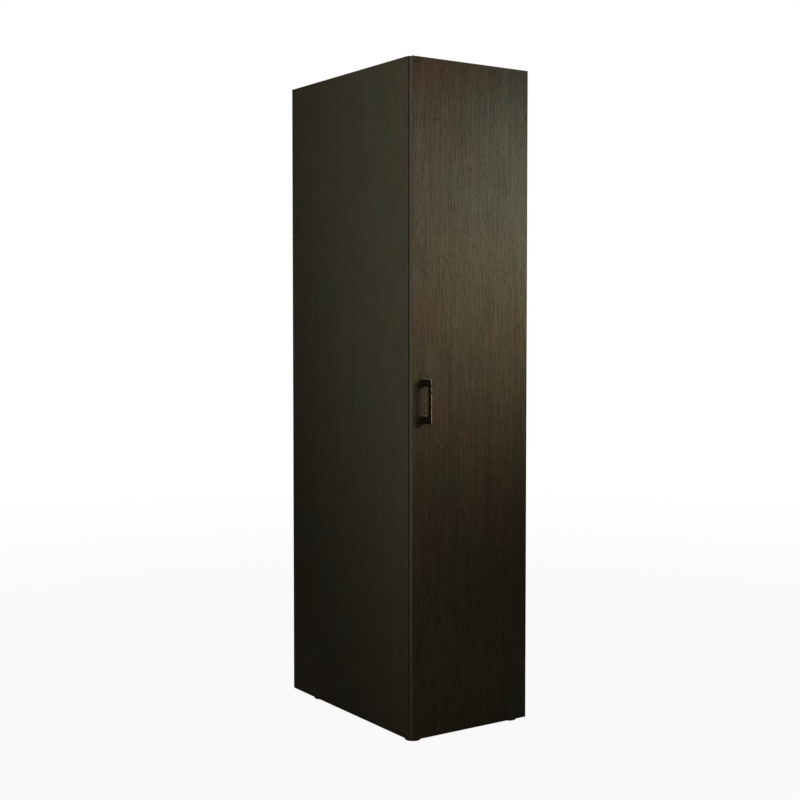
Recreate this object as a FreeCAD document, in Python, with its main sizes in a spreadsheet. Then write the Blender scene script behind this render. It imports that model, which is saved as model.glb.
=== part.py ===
import FreeCAD, Part
import os
import re
import Sketcher

# Tall one-door storage cabinet in dark wood-grain board, millimetres.
# Origin on the floor under the middle of its overall box, +Z up, the door faces -Y.
# The door swings on three butt hinges along its right edge (+X).

sizes = {
    # carcass
    "panel_height": 2000,
    "carcass_width": 432,
    "carcass_depth": 680,
    "board": 16,
    "edging": 1,
    "housing": 6,
    "housing_stop": 12,
    # back board, in grooves cut round the inside
    "back_board": 3,
    "back_inset": 8,
    "groove_depth": 8,
    "groove_play": 0.3,
    # shelves
    "fixed_shelf_height": 1002,
    "first_rise": 320,
    "shelf_step": 320,
    "shelf_setback": 4,
    "shelf_side_play": 1,
    "shelf_back_play": 2,
    # angle supports that carry the loose shelves
    "support_leg": 14,
    "support_width": 12,
    "support_plate": 2,
    "support_front_inset": 37,
    "support_rear_inset": 78,
    # door
    "door_gap": 2,
    "door_board": 18,
    "door_edging": 2,
    "door_reveal": 2,
    # pull handle
    "handle_reach": 35,
    "handle_length": 133,
    "handle_width": 11,
    "handle_bar": 8,
    "handle_leg": 25,
    "handle_height": 1010,
    "handle_inset": 40,
    "handle_corner": 3,
    "handle_inner_corner": 4,
    "handle_bevel": 1.6,
    # machine screws that hold the handle from inside
    "handle_screw_diameter": 4,
    "handle_screw_in_leg": 11,
    "handle_screw_head_diameter": 8,
    "handle_screw_head": 2.4,
    "handle_screw_fit": 0.2,
    # butt hinges
    "hinge_height": 76,
    "hinge_end_distance": 160,
    "leaf": 1.6,
    "leaf_margin": 1.5,
    "barrel_clearance": 0.4,
    "knuckle_play": 0.2,
    "hinge_pin_diameter": 2.8,
    "hinge_pin_fit": 0.1,
    "hinge_cap": 1.6,
    # magnetic catch under the fixed shelf and its strike plate on the door
    "catch_length": 48,
    "catch_height": 14,
    "catch_depth": 15,
    "catch_ear": 7,
    "catch_ear_plate": 3,
    "catch_side_distance": 40,
    "catch_setback": 1,
    "catch_corner": 2,
    "pole_length": 28,
    "pole_plate": 1.5,
    "pole_spacing": 5,
    "pole_reach": 1,
    "pole_in_housing": 10,
    "pole_air_gap": 0.3,
    "strike_length": 38,
    "strike_height": 13,
    # soft dots on the inside of the door
    "bumper_diameter": 8,
    "bumper_air_gap": 0.3,
    "bumper_end_distance": 60,
    # round feet
    "foot_height": 10,
    "foot_diameter": 48,
    "foot_top_diameter": 44,
    "foot_edge": 1.5,
    "foot_side_inset": 34,
    "foot_front_inset": 25,
    "foot_rear_inset": 124,
    # wall bracket on top at the back
    "bracket_length": 60,
    "bracket_leg": 30,
    "bracket_plate": 2,
    "bracket_bend": 3,
    "bracket_hole_spacing": 40,
    "bracket_hole_diameter": 5,
    "bracket_wall_gap": 1,
    "bracket_screw_diameter": 4,
    "bracket_screw_in_top": 12,
    "bracket_screw_head_diameter": 8,
    "bracket_screw_head": 2,
    "bracket_screw_fit": 0.1,
    # cuts run this far past the faces that they open
    "overrun": 5,
}

# Places that several pieces share, worked out from the sizes.
back_y = "(carcass_depth + door_gap + door_board + handle_reach) / 2"
front_y = f"({back_y} - carcass_depth)"
core_front_y = f"({front_y} + edging)"
door_back_y = f"({front_y} - door_gap)"
door_front_y = f"({door_back_y} - door_board)"
half_width = "carcass_width / 2"
half_inside = "(carcass_width / 2 - board)"
carcass_top = "(foot_height + panel_height)"
top_z = f"({carcass_top} - board)"
core_depth = "(carcass_depth - edging)"
groove_back = f"({core_depth} - back_inset)"
groove_front = f"({groove_back} - back_board)"
shelf_depth = f"({groove_front} - shelf_back_play)"
shelf_end = f"({half_inside} - shelf_side_play)"
lower_floor = "(foot_height + board)"
upper_floor = "(fixed_shelf_height + board)"
upper_middle = f"(({upper_floor} + {top_z}) / 2)"
fixed_panel_heights = ("foot_height", "fixed_shelf_height", top_z)
shelf_heights = {
    1: f"({lower_floor} + first_rise)",
    2: f"({lower_floor} + first_rise + shelf_step)",
    3: f"({upper_middle} - (shelf_step + board) / 2)",
    4: f"({upper_middle} + (shelf_step - board) / 2)",
}
door_half_width = f"({half_width} - door_reveal)"
door_low = "(foot_height + door_reveal)"
door_high = f"({carcass_top} - door_reveal)"
handle_x = f"(handle_inset - {door_half_width})"
handle_half_pitch = "(handle_length - handle_leg) / 2"
barrel_radius = "(door_gap / 2 + leaf)"
barrel_room = f"({barrel_radius} + barrel_clearance)"
barrel_x = f"({half_width} + {barrel_room})"
barrel_y = f"({front_y} - door_gap / 2)"
leaf_reach = f"({barrel_x} - {half_inside} - leaf_margin)"
knuckle = "(hinge_height / 5)"
hinge_low = f"({door_low} + hinge_end_distance)"
hinge_high = f"({door_high} - hinge_end_distance)"
hinge_heights = {1: hinge_low, 2: f"(({hinge_low} + {hinge_high}) / 2)", 3: hinge_high}
catch_x = f"(catch_side_distance + catch_length / 2 - {half_inside})"
catch_z = "(fixed_shelf_height - catch_height / 2)"
foot_x = f"({half_width} - foot_side_inset)"
foot_rows = {"front": f"({front_y} + foot_front_inset)", "rear": f"({back_y} - foot_rear_inset)"}
bracket_y = f"({back_y} - bracket_wall_gap)"

doc = FreeCAD.newDocument("StorageCabinet")
sheet = doc.addObject("Spreadsheet::Sheet", "Sizes")
for row, (name, value) in enumerate(sizes.items(), start=1):
    sheet.set(f"A{row}", name)
    sheet.set(f"B{row}", str(value))
    sheet.setAlias(f"B{row}", name)
doc.recompute()

pieces = []


# How pieces are drawn

def bind(thing, prop, text):
    """Bind a property to an expression written with the names of sizes."""
    thing.setExpression(prop, re.sub(r"[a-z]\w*", lambda word: f"Sizes.{word.group()}", text))


def piece(name, x="0", y="0", z="0"):
    """Start a new piece whose own origin lies at x, y, z in the cabinet."""
    body = doc.addObject("PartDesign::Body", name)
    body.Label = name
    for axis, place in zip("xyz", (x, y, z)):
        bind(body, f"Placement.Base.{axis}", place)
    pieces.append(body)
    return body


def origin(body, role):
    """One of the body's own origin planes or axes."""
    return next(feature for feature in body.Origin.OriginFeatures if feature.Role == role)


def sketch(body, name, plane, offset="0"):
    """Empty sketch on an origin plane, moved along that plane's normal."""
    drawn = body.newObject("Sketcher::SketchObject", f"{body.Label}_{name}")
    drawn.AttachmentSupport = [(origin(body, plane), "")]
    drawn.MapMode = "FlatFace"
    bind(drawn, "AttachmentOffset.Base.z", offset)
    return drawn


def dimension(drawn, kind, places, text):
    """Driving dimension bound to an expression."""
    index = drawn.addConstraint(Sketcher.Constraint(kind, *places, 1))
    drawn.renameConstraint(index, f"size{index}")
    bind(drawn, f"Constraints.size{index}", text)


def outline(drawn, corners):
    """Closed outline of straight lines, each corner dimensioned from the sketch's origin."""
    first = drawn.GeometryCount
    count = len(corners)
    for step in range(count):
        start = FreeCAD.Vector(step, step % 2)
        end = FreeCAD.Vector((step + 1) % count, (step + 1) % count % 2)
        drawn.addGeometry(Part.LineSegment(start, end), False)
    for step in range(count):
        following = first + (step + 1) % count
        drawn.addConstraint(Sketcher.Constraint("Coincident", first + step, 2, following, 1))
    for step, (across, along) in enumerate(corners):
        dimension(drawn, "DistanceX", (-1, 1, first + step, 1), across)
        dimension(drawn, "DistanceY", (-1, 1, first + step, 1), along)


def rectangle(drawn, left, low, right, high):
    outline(drawn, [(left, low), (right, low), (right, high), (left, high)])


def circle(drawn, across, along, diameter):
    index = drawn.addGeometry(Part.Circle(FreeCAD.Vector(), FreeCAD.Vector(0, 0, 1), 1), False)
    dimension(drawn, "DistanceX", (-1, 1, index, 3), across)
    dimension(drawn, "DistanceY", (-1, 1, index, 3), along)
    dimension(drawn, "Diameter", (index,), diameter)


def pad(body, drawn, length, midplane=False, backward=False):
    """Solid from a sketch, along its normal, against it or half each way."""
    added = body.newObject("PartDesign::Pad", f"{drawn.Label}_pad")
    added.Profile = drawn
    added.Midplane = midplane
    added.Reversed = backward
    bind(added, "Length", length)
    doc.recompute()
    return added


def revolve(body, drawn, axis):
    """Turn a half outline all the way round one of the sketch's own axes."""
    turned = body.newObject("PartDesign::Revolution", f"{drawn.Label}_turned")
    turned.Profile = drawn
    turned.ReferenceAxis = (drawn, [axis])
    turned.Angle = 360
    doc.recompute()
    return turned


def pocket(body, drawn, depth, forward=False):
    """Cut into the solid, against the sketch's normal, or along it when forward is set."""
    before = body.Shape.Volume
    hole = body.newObject("PartDesign::Pocket", f"{drawn.Label}_cut")
    hole.Profile = drawn
    hole.Reversed = forward
    bind(hole, "Length", depth)
    doc.recompute()
    if body.Shape.Volume >= before:
        raise RuntimeError(f"{drawn.Label} cuts nothing")
    return hole


def repeat(body, kind, name, features):
    """Pattern feature that becomes the body's tip."""
    pattern = body.newObject(f"PartDesign::{kind}", f"{body.Label}_{name}")
    pattern.Originals = features
    body.Tip = pattern
    return pattern


def in_row(body, features, axis, pitch, count):
    """Repeat features along an origin axis of the body."""
    line = repeat(body, "LinearPattern", "row", features)
    line.Direction = (origin(body, axis), [""])
    line.Occurrences = count
    bind(line, "Length", f"({pitch}) * {count - 1}")
    doc.recompute()


def four_corners(body, feature, pitch):
    """Repeat one feature a pitch further back, and both on the other side."""
    grid = repeat(body, "MultiTransform", "corners", [feature])
    back = body.newObject("PartDesign::LinearPattern", f"{body.Label}_rows")
    back.Direction = (origin(body, "Y_Axis"), [""])
    back.Occurrences = 2
    bind(back, "Length", pitch)
    across = body.newObject("PartDesign::Mirrored", f"{body.Label}_sides")
    across.MirrorPlane = (origin(body, "YZ_Plane"), [""])
    grid.Transformations = [back, across]
    body.Tip = grid
    doc.recompute()


def soften(body, kind, amount, wanted):
    """Fillet or chamfer every straight edge whose direction and midpoint pass the test."""
    tip = body.Tip
    names = []
    for number, edge in enumerate(tip.Shape.Edges, start=1):
        if isinstance(edge.Curve, Part.Line):
            midpoint = edge.valueAt((edge.FirstParameter + edge.LastParameter) / 2)
            if wanted(edge.tangentAt(edge.FirstParameter), midpoint):
                names.append(f"Edge{number}")
    if not names:
        raise RuntimeError(f"no edge to soften on {body.Label}")
    softened = body.newObject(f"PartDesign::{kind}", f"{body.Label}_{kind.lower()}")
    softened.Base = (tip, names)
    bind(softened, "Radius" if kind == "Fillet" else "Size", amount)
    doc.recompute()


def along(direction, axis):
    """True when a direction runs along the axis with this index, either way."""
    return abs(direction[axis]) > max(abs(direction[other]) for other in range(3) if other != axis)


# Carcass sides

def side(name, x, inner_face, forward):
    """Side panel, cut from its inner face: stopped housings for three panels, and the back groove."""
    body = piece(name, x=x, y=core_front_y, z="foot_height")
    core = sketch(body, "core", "YZ_Plane")
    rectangle(core, "0", "0", core_depth, "panel_height")
    pad(body, core, "board")

    housings = sketch(body, "housings", "YZ_Plane", inner_face)
    rectangle(housings, "housing_stop", "0 - overrun", f"{core_depth} + overrun", "board")
    rectangle(housings, "housing_stop", f"{top_z} - foot_height",
              f"{core_depth} + overrun", "panel_height + overrun")
    rectangle(housings, "housing_stop", "fixed_shelf_height - foot_height",
              shelf_depth, "fixed_shelf_height + board - foot_height")
    pocket(body, housings, "housing", forward)

    groove = sketch(body, "groove", "YZ_Plane", inner_face)
    rectangle(groove, groove_front, "0 - overrun", groove_back, "panel_height + overrun")
    pocket(body, groove, "groove_depth", forward)

    return body


def leaf_seats(drawn, inner, outer, lift):
    """Rectangles that the three hinge leaves lie in."""
    for height in hinge_heights.values():
        middle = f"{height} - {lift}"
        rectangle(drawn, inner, f"{middle} - hinge_height / 2", outer, f"{middle} + hinge_height / 2")


def hinged_side():
    """Right side, with seats for the hinge leaves in its front edge."""
    body = side("right_side", half_inside, "0", True)
    seats = sketch(body, "leaf_seats", "XZ_Plane")
    leaf_seats(seats, "leaf_margin", "board + overrun", "foot_height")
    pocket(body, seats, "leaf - edging")


def side_edging(name, x):
    """Strip along the front edge of a side."""
    body = piece(name, x=x, y=core_front_y, z="foot_height")
    strip = sketch(body, "strip", "XZ_Plane")
    rectangle(strip, "0", "0", "board", "panel_height")
    pad(body, strip, "edging")
    return body


def hinged_side_edging():
    """Strip on the right side, cut away for the hinge leaves."""
    body = side_edging("right_side_edging", half_inside)
    notches = sketch(body, "leaf_notches", "XZ_Plane", "edging")
    leaf_seats(notches, "leaf_margin", "board + overrun", "foot_height")
    pocket(body, notches, "edging")


# Panels housed between the sides

def housed_panel(name, z, depth):
    """Level panel whose ends lie in the sides' housings, its front corners notched to hide them."""
    body = piece(name, y=core_front_y, z=z)
    core = sketch(body, "core", "XY_Plane")
    end = f"({half_inside} + housing)"
    outline(core, [
        (f"0 - {half_inside}", "0"), (half_inside, "0"),
        (half_inside, "housing_stop"), (end, "housing_stop"),
        (end, depth), (f"0 - {end}", depth),
        (f"0 - {end}", "housing_stop"), (f"0 - {half_inside}", "housing_stop")])
    pad(body, core, "board")
    return body


def back_groove(body, face, forward):
    """Groove across a panel for the back board."""
    groove = sketch(body, "groove", "XY_Plane", face)
    rectangle(groove, f"0 - {half_width}", groove_front, half_width, groove_back)
    pocket(body, groove, "groove_depth", forward)


def top_panel():
    """Top, grooved underneath, drilled for the bracket screws."""
    body = housed_panel("top_panel", top_z, core_depth)
    back_groove(body, "0", True)
    holes = sketch(body, "bracket_holes", "XY_Plane", "board")
    row = f"{bracket_y} - bracket_leg / 2 - {core_front_y}"
    for sign in "-+":
        circle(holes, f"0 {sign} bracket_hole_spacing / 2", row, "bracket_screw_diameter")
    pocket(body, holes, "bracket_screw_in_top")


def bottom_panel():
    """Bottom, grooved on top."""
    body = housed_panel("bottom_panel", "foot_height", core_depth)
    back_groove(body, "board", False)


def cross_edging():
    """Front edge strips of the bottom, the fixed shelf and the top."""
    body = piece("cross_edging", y=core_front_y)
    strips = sketch(body, "strips", "XZ_Plane")
    for height in fixed_panel_heights:
        rectangle(strips, f"0 - {half_inside}", height, half_inside, f"{height} + board")
    pad(body, strips, "edging")


def back_panel():
    """Thin back board held in the grooves."""
    inner = "(groove_depth - groove_play)"
    body = piece("back_panel", y=f"{core_front_y} + {groove_back}")
    board = sketch(body, "board", "XZ_Plane")
    rectangle(board, f"0 - {half_inside} - {inner}", f"{lower_floor} - {inner}",
              f"{half_inside} + {inner}", f"{top_z} + {inner}")
    pad(body, board, "back_board")


# Loose shelves

def adjustable_shelf(number, height):
    """Shelf that lies on its four supports."""
    body = piece(f"adjustable_shelf_{number}", y=f"{core_front_y} + shelf_setback", z=height)
    core = sketch(body, "core", "XY_Plane")
    rectangle(core, f"0 - {shelf_end}", "0", shelf_end, f"{shelf_depth} - shelf_setback")
    pad(body, core, "board")


def shelf_supports(number, height):
    """Four small steel angles on the sides, under one shelf."""
    body = piece(f"shelf_supports_{number}", y=f"{front_y} + support_front_inset", z=height)
    angle = sketch(body, "angle", "XZ_Plane")
    tip = f"({half_inside} - support_leg)"
    inner = f"({half_inside} - support_plate)"
    outline(angle, [
        (half_inside, "0"), (tip, "0"), (tip, "0 - support_plate"), (inner, "0 - support_plate"),
        (inner, "0 - support_leg"), (half_inside, "0 - support_leg")])
    support = pad(body, angle, "support_width", midplane=True)
    four_corners(body, support, "carcass_depth - support_rear_inset - support_front_inset")


def shelf_edging():
    """Front edge strips of the loose shelves."""
    body = piece("shelf_edging", y=f"{core_front_y} + shelf_setback")
    strips = sketch(body, "strips", "XZ_Plane")
    for height in shelf_heights.values():
        rectangle(strips, f"0 - {shelf_end}", height, shelf_end, f"{height} + board")
    pad(body, strips, "edging")


# Door

def door():
    """Door board, seated at the back for the hinge leaves and bored for the handle screws."""
    core_half = f"({door_half_width} - door_edging)"
    body = piece("door", y=door_back_y)
    core = sketch(body, "core", "XZ_Plane")
    rectangle(core, f"0 - {core_half}", f"{door_low} + door_edging",
              core_half, f"{door_high} - door_edging")
    pad(body, core, "door_board")
    seats = sketch(body, "leaf_seats", "XZ_Plane")
    leaf_seats(seats, f"{half_inside} + leaf_margin", f"{core_half} + overrun", "0")
    pocket(body, seats, "leaf", forward=True)
    bores = sketch(body, "handle_bores", "XZ_Plane")
    for sign in "-+":
        circle(bores, handle_x, f"handle_height {sign} {handle_half_pitch}",
               "handle_screw_diameter + 2 * handle_screw_fit")
    pocket(body, bores, "door_board", forward=True)


def door_edging_sides():
    """Strips down both long edges, the right one cut away for the hinge leaves."""
    body = piece("door_edging_sides", y=door_back_y)
    strips = sketch(body, "strips", "XZ_Plane")
    inner = f"({door_half_width} - door_edging)"
    rectangle(strips, f"0 - {door_half_width}", door_low, f"0 - {inner}", door_high)
    rectangle(strips, inner, door_low, door_half_width, door_high)
    pad(body, strips, "door_board")
    notches = sketch(body, "leaf_notches", "XZ_Plane")
    leaf_seats(notches, half_inside, f"{door_half_width} + overrun", "0")
    pocket(body, notches, "leaf", forward=True)


def door_edging_ends():
    """Strips along the top and bottom edges, between the long ones."""
    body = piece("door_edging_ends", y=door_back_y)
    strips = sketch(body, "strips", "XZ_Plane")
    reach = f"({door_half_width} - door_edging)"
    for low in (door_low, f"({door_high} - door_edging)"):
        rectangle(strips, f"0 - {reach}", low, reach, f"{low} + door_edging")
    pad(body, strips, "door_board")


def door_bumpers():
    """Two soft dots that meet the left side when the door shuts."""
    body = piece("door_bumpers", y=door_back_y)
    dots = sketch(body, "dots", "XZ_Plane")
    for height in (f"{door_low} + bumper_end_distance", f"{door_high} - bumper_end_distance"):
        circle(dots, f"board / 2 - {half_width}", height, "bumper_diameter")
    pad(body, dots, "door_gap - bumper_air_gap", backward=True)


# Pull handle

def handle():
    """Square C pull with broad legs, its bar bevelled down both front edges."""
    body = piece("handle", x=handle_x, y=door_front_y, z="handle_height")
    end = "handle_length / 2"
    inner_end = "(handle_length / 2 - handle_leg)"
    inner_face = "(handle_bar - handle_reach)"
    bow = sketch(body, "bow", "YZ_Plane")
    outline(bow, [
        ("0", f"0 - {end}"), ("0 - handle_reach", f"0 - {end}"),
        ("0 - handle_reach", end), ("0", end),
        ("0", inner_end), (inner_face, inner_end),
        (inner_face, f"0 - {inner_end}"), ("0", f"0 - {inner_end}")])
    pad(body, bow, "handle_width", midplane=True)

    bar_middle = sheet.handle_bar / 2 - sheet.handle_reach
    leg_middle = (sheet.handle_length - sheet.handle_leg) / 2

    def outer_corner(direction, point):
        return along(direction, 0) and point.y < bar_middle

    def inner_corner(direction, point):
        return along(direction, 0) and abs(point.z) < leg_middle and bar_middle < point.y < bar_middle / 2

    def bar_edge(direction, point):
        return along(direction, 2) and point.y < bar_middle and abs(point.z) < leg_middle

    soften(body, "Fillet", "handle_corner", outer_corner)
    soften(body, "Fillet", "handle_inner_corner", inner_corner)
    soften(body, "Chamfer", "handle_bevel", bar_edge)

    taps = sketch(body, "taps", "XZ_Plane")
    for sign in "-+":
        circle(taps, "0", f"0 {sign} {handle_half_pitch}", "handle_screw_diameter")
    pocket(body, taps, "handle_screw_in_leg", forward=True)


def handle_screws():
    """Two machine screws put through the door from inside."""
    body = piece("handle_screws", x=handle_x, y=door_back_y, z=f"handle_height - {handle_half_pitch}")
    half = sketch(body, "half", "YZ_Plane")
    tip = "(0 - door_board - handle_screw_in_leg)"
    shank = "handle_screw_diameter / 2"
    head = "handle_screw_head_diameter / 2"
    outline(half, [
        ("handle_screw_head", "0"), (tip, "0"), (tip, shank),
        ("0", shank), ("0", head), ("handle_screw_head", head)])
    screw = revolve(body, half, "H_Axis")
    in_row(body, [screw], "Z_Axis", f"2 * {handle_half_pitch}", 2)


# Butt hinges

def hinge_leaf(name, height, near, far, first_gap, gap_count):
    """Leaf with its share of the five knuckles: plate and barrel, gapped for the other leaf, bored."""
    body = piece(name, x=barrel_x, y=barrel_y, z=f"{height} - hinge_height / 2")
    plate = sketch(body, "plate", "XY_Plane")
    rectangle(plate, f"0 - {leaf_reach}", near, "0", far)
    pad(body, plate, "hinge_height")
    barrel = sketch(body, "barrel", "XY_Plane")
    circle(barrel, "0", "0", f"2 * {barrel_radius}")
    pad(body, barrel, "hinge_height")

    gap = sketch(body, "gap", "XY_Plane", f"{first_gap} + knuckle_play / 2")
    rectangle(gap, f"0 - {barrel_room}", f"0 - {barrel_room}", barrel_room, barrel_room)
    cut = pocket(body, gap, f"{knuckle} + knuckle_play")
    in_row(body, [cut], "Z_Axis", f"2 * {knuckle}", gap_count)

    bore = sketch(body, "bore", "XY_Plane", "hinge_height")
    circle(bore, "0", "0", "hinge_pin_diameter + 2 * hinge_pin_fit")
    pocket(body, bore, "hinge_height")


def hinge_pin(name, height):
    """Pin through all five knuckles, with a cap at each end."""
    body = piece(name, x=barrel_x, y=barrel_y, z=f"{height} - hinge_height / 2")
    half = sketch(body, "half", "XZ_Plane")
    shank = "hinge_pin_diameter / 2"
    outline(half, [
        ("0", "0 - hinge_cap"), (barrel_radius, "0 - hinge_cap"), (barrel_radius, "0"),
        (shank, "0"), (shank, "hinge_height"), (barrel_radius, "hinge_height"),
        (barrel_radius, "hinge_height + hinge_cap"), ("0", "hinge_height + hinge_cap")])
    revolve(body, half, "V_Axis")


def hinge(number, height):
    """Knuckles 1, 3 and 5 belong to the side's leaf, 2 and 4 to the door's."""
    hinge_leaf(f"hinge_side_leaf_{number}", height, "door_gap / 2", barrel_radius, f"2 * {knuckle}", 2)
    hinge_leaf(f"hinge_door_leaf_{number}", height, "0 - door_gap / 2", f"0 - {barrel_radius}", knuckle, 3)
    hinge_pin(f"hinge_pin_{number}", height)


# Magnetic catch

def pole_strips(drawn):
    """Outlines of the two level pole plates."""
    for low in ("pole_spacing / 2", "0 - pole_spacing / 2 - pole_plate"):
        rectangle(drawn, "0 - pole_length / 2", low, "pole_length / 2", f"{low} + pole_plate")


def catch_housing():
    """Moulded housing under the fixed shelf, with an ear at each end and slots for the pole plates."""
    body = piece("catch_housing", x=catch_x, y=f"{front_y} + catch_setback", z=catch_z)
    block = sketch(body, "block", "XY_Plane")
    rectangle(block, "0 - catch_length / 2", "0", "catch_length / 2", "catch_depth")
    pad(body, block, "catch_height", midplane=True)
    ears = sketch(body, "ears", "XY_Plane", "0 - catch_height / 2")
    for end, root in (("0 - catch_length / 2 - overrun", "catch_ear - catch_length / 2"),
                      ("catch_length / 2 + overrun", "catch_length / 2 - catch_ear")):
        rectangle(ears, end, "0 - overrun", root, "catch_depth + overrun")
    pocket(body, ears, "catch_height - catch_ear_plate", forward=True)
    soften(body, "Fillet", "catch_corner", lambda direction, point: along(direction, 2))
    slots = sketch(body, "pole_slots", "XZ_Plane")
    pole_strips(slots)
    pocket(body, slots, "pole_in_housing")


def catch_pole_plates():
    """Two steel plates that carry the magnet's pull to the strike plate."""
    body = piece("catch_pole_plates", x=catch_x, y=f"{front_y} + catch_setback", z=catch_z)
    strips = sketch(body, "strips", "XZ_Plane", "pole_reach")
    pole_strips(strips)
    pad(body, strips, "pole_reach + pole_in_housing", backward=True)


def strike_plate():
    """Steel plate on the door that the poles hold."""
    body = piece("strike_plate", x=catch_x, y=door_back_y, z=catch_z)
    plate = sketch(body, "plate", "XZ_Plane")
    rectangle(plate, "0 - strike_length / 2", "0 - strike_height / 2",
              "strike_length / 2", "strike_height / 2")
    pad(body, plate, "door_gap + catch_setback - pole_reach - pole_air_gap", backward=True)
    soften(body, "Fillet", "catch_corner", lambda direction, point: along(direction, 1))


# Feet

def feet(end, place):
    """Two round glides under the bottom, tapered upwards."""
    body = piece(f"{end}_feet", x=f"0 - {foot_x}", y=place)
    half = sketch(body, "half", "XZ_Plane")
    outline(half, [
        ("0", "0"), ("foot_diameter / 2 - foot_edge", "0"), ("foot_diameter / 2", "foot_edge"),
        ("foot_top_diameter / 2", "foot_height"), ("0", "foot_height")])
    foot = revolve(body, half, "V_Axis")
    in_row(body, [foot], "X_Axis", f"2 * {foot_x}", 2)


# Wall bracket

def wall_bracket():
    """Bent steel angle on the top, with two holes for the wall and two for its own screws."""
    body = piece("wall_bracket", y=bracket_y, z=carcass_top)
    angle = sketch(body, "angle", "YZ_Plane")
    outline(angle, [
        ("0", "0"), ("0", "bracket_leg"),
        ("0 - bracket_plate", "bracket_leg"), ("0 - bracket_plate", "bracket_plate"),
        ("0 - bracket_leg", "bracket_plate"), ("0 - bracket_leg", "0")])
    pad(body, angle, "bracket_length", midplane=True)
    heel = sheet.bracket_plate / 2
    soften(body, "Fillet", "bracket_bend",
           lambda direction, point: along(direction, 0) and abs(point.y) < heel and point.z < heel)
    wall_holes = sketch(body, "wall_holes", "XZ_Plane")
    top_holes = sketch(body, "top_holes", "XY_Plane", "bracket_plate")
    for sign in "-+":
        across = f"0 {sign} bracket_hole_spacing / 2"
        circle(wall_holes, across, "(bracket_leg + bracket_plate) / 2", "bracket_hole_diameter")
        circle(top_holes, across, "0 - bracket_leg / 2", "bracket_hole_diameter")
    pocket(body, wall_holes, "bracket_plate", forward=True)
    pocket(body, top_holes, "bracket_plate")


def bracket_screws():
    """Two screws down through the bracket into the top."""
    body = piece("bracket_screws", x="0 - bracket_hole_spacing / 2",
                 y=f"{bracket_y} - bracket_leg / 2", z=carcass_top)
    half = sketch(body, "half", "XZ_Plane")
    shank = "bracket_screw_diameter / 2 - bracket_screw_fit"
    head = "bracket_screw_head_diameter / 2"
    tip = "bracket_screw_fit - bracket_screw_in_top"
    outline(half, [
        ("0", tip), (shank, tip), (shank, "bracket_plate"), (head, "bracket_plate"),
        (head, "bracket_plate + bracket_screw_head"), ("0", "bracket_plate + bracket_screw_head")])
    screw = revolve(body, half, "V_Axis")
    in_row(body, [screw], "X_Axis", "bracket_hole_spacing", 2)


def build():
    side("left_side", f"0 - {half_width}", "board", False)
    hinged_side()
    side_edging("left_side_edging", f"0 - {half_width}")
    hinged_side_edging()
    top_panel()
    bottom_panel()
    housed_panel("fixed_shelf", "fixed_shelf_height", shelf_depth)
    cross_edging()
    back_panel()
    for number, height in shelf_heights.items():
        adjustable_shelf(number, height)
        shelf_supports(number, height)
    shelf_edging()
    door()
    door_edging_sides()
    door_edging_ends()
    door_bumpers()
    handle()
    handle_screws()
    for number, height in hinge_heights.items():
        hinge(number, height)
    catch_housing()
    catch_pole_plates()
    strike_plate()
    for end, place in foot_rows.items():
        feet(end, place)
    wall_bracket()
    bracket_screws()


def write_parts():
    """Check every object, then write one file for each piece."""
    doc.recompute()
    failed = [thing.Label for thing in doc.Objects if {"Invalid", "Error"} & set(thing.State)]
    if failed:
        raise RuntimeError(f"failed: {failed}")
    for body in pieces:
        if body.Shape.isNull() or not body.Shape.isValid():
            raise RuntimeError(f"bad shape: {body.Label}")
    os.makedirs("parts", exist_ok=True)
    for body in pieces:
        body.Shape.exportStep(f"parts/{body.Label}.step")
    print(f"{len(pieces)} pieces")


build()
write_parts()
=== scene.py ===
import math

import bmesh
import bpy
from mathutils import Matrix, Vector, noise


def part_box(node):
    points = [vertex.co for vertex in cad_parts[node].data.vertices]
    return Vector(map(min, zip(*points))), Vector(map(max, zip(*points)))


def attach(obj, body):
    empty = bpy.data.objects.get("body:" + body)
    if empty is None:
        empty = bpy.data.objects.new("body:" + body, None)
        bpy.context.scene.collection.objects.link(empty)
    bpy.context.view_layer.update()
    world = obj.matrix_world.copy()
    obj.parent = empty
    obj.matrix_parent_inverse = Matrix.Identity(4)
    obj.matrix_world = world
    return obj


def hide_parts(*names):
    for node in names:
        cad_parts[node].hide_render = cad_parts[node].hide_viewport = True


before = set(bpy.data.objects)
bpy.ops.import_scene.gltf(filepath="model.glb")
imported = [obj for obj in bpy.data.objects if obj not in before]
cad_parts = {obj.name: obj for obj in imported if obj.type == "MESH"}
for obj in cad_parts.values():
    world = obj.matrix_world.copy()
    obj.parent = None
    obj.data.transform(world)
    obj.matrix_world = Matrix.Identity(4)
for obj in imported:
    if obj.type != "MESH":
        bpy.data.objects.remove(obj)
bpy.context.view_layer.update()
scene = bpy.context.scene
mm = 0.001


# Colours and nodes

def linearColour(hexText):
    # sRGB hex to the linear values that the shaders take
    channels = [int(hexText[start:start + 2], 16) / 255 for start in (1, 3, 5)]
    linear = [c / 12.92 if c <= 0.04045 else ((c + 0.055) / 1.055) ** 2.4 for c in channels]
    return (*linear, 1.0)


def addNode(tree, kind, inputs=None, **settings):
    # one shader node, its kind written without the leading ShaderNode. An input is a plain value or another
    # node's output. Sockets go by identifier, because Mix and Math nodes have several with the same name.
    node = tree.nodes.new("ShaderNode" + kind)
    for name, value in settings.items():
        setattr(node, name, value)
    sockets = {socket.identifier: socket for socket in node.inputs}
    for name, value in (inputs or {}).items():
        if isinstance(value, bpy.types.NodeSocket):
            tree.links.new(value, sockets[name])
        else:
            sockets[name].default_value = value
    return {socket.identifier: socket for socket in node.outputs}


def newMaterial(name):
    material = bpy.data.materials.new(name)
    material.use_nodes = True
    material.node_tree.nodes.clear()
    return material, material.node_tree


# Wood-grain laminate: printed paper under melamine, pressed with a pore texture.
# To the eye it is dark straight-grained wenge with a satin surface that catches light in patches.

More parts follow.
